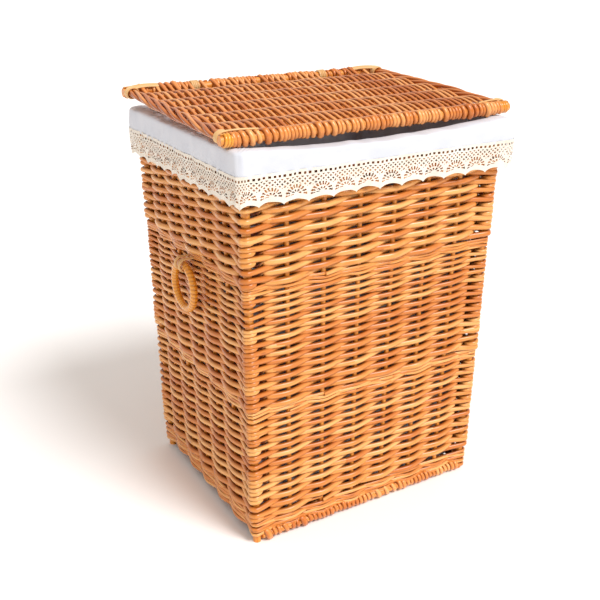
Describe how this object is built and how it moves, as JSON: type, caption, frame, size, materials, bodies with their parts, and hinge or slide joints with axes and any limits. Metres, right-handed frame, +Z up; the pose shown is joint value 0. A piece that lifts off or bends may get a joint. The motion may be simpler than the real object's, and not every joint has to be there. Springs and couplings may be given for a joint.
{
  "type": "woven laundry basket",
  "caption": "Tall rectangular woven willow laundry basket with a hinged lid, two hanging ring handles and a lace-trimmed cloth liner folded over the rim.",
  "frame": {"origin": "on the floor, under the middle of the basket", "axes": "+Z up, +X to the right along the wide side, -Y to the front"},
  "size_m": [0.47, 0.374, 0.6344],
  "materials": {
    "willow": "varnished",
    "golden_cane": "varnished",
    "cotton": "plain woven",
    "lace": "crocheted"
  },
  "bodies": {
    "basket": {"back_stake_1": "willow", "back_stake_2": "willow", "back_stake_3": "willow", "back_stake_4": "willow", "back_stake_5": "willow", "back_stake_6": "willow", "base_back_stick": "willow", "base_front_stick": "willow", "base_sticks": "willow", "base_weave": "willow", "corner_post_back_left": "willow", "corner_post_back_right": "willow", "corner_post_front_left": "willow", "corner_post_front_right": "willow", "foot_wale": "willow", "front_stake_1": "willow", "front_stake_2": "willow", "front_stake_3": "willow", "front_stake_4": "willow", "front_stake_5": "willow", "front_stake_6": "willow", "lace_trim": "lace", "left_handle_binding": "golden_cane", "left_hinge_loop": "willow", "left_stake_1": "willow", "left_stake_2": "willow", "left_stake_3": "willow", "left_stake_4": "willow", "left_stake_5": "willow", "liner_bag": "cotton", "lower_wale": "willow", "lower_weave": "willow", "middle_wale": "willow", "middle_weave": "willow", "right_handle_binding": "golden_cane", "right_hinge_loop": "willow", "right_stake_1": "willow", "right_stake_2": "willow", "right_stake_3": "willow", "right_stake_4": "willow", "right_stake_5": "willow", "top_border": "willow", "upper_weave": "willow"},
    "lid": {"lid_back_stick": "willow", "lid_corner_bindings": "golden_cane", "lid_front_stick": "willow", "lid_left_edge_rods": "willow", "lid_right_edge_rods": "willow", "lid_stick_1": "willow", "lid_stick_2": "willow", "lid_stick_3": "willow", "lid_stick_4": "willow", "lid_stick_5": "willow", "lid_weave": "willow"},
    "left_handle": {"left_handle_core": "willow", "left_handle_wrap": "golden_cane"},
    "right_handle": {"right_handle_core": "willow", "right_handle_wrap": "golden_cane"}
  },
  "joints": [
    {"name": "lid_hinge", "type": "hinge", "parent": "basket", "child": "lid", "pos_m": [0, 0.1705, 0.624], "axis": [-1, 0, 0], "range_deg": [0, 110]},
    {"name": "left_handle_swing", "type": "hinge", "parent": "basket", "child": "left_handle", "pos_m": [-0.22366, 0, 0.3995], "axis": [0, 1, 0], "range_deg": [0, 150]},
    {"name": "right_handle_swing", "type": "hinge", "parent": "basket", "child": "right_handle", "pos_m": [0.22366, 0, 0.3995], "axis": [0, -1, 0], "range_deg": [0, 150]}
  ]
}
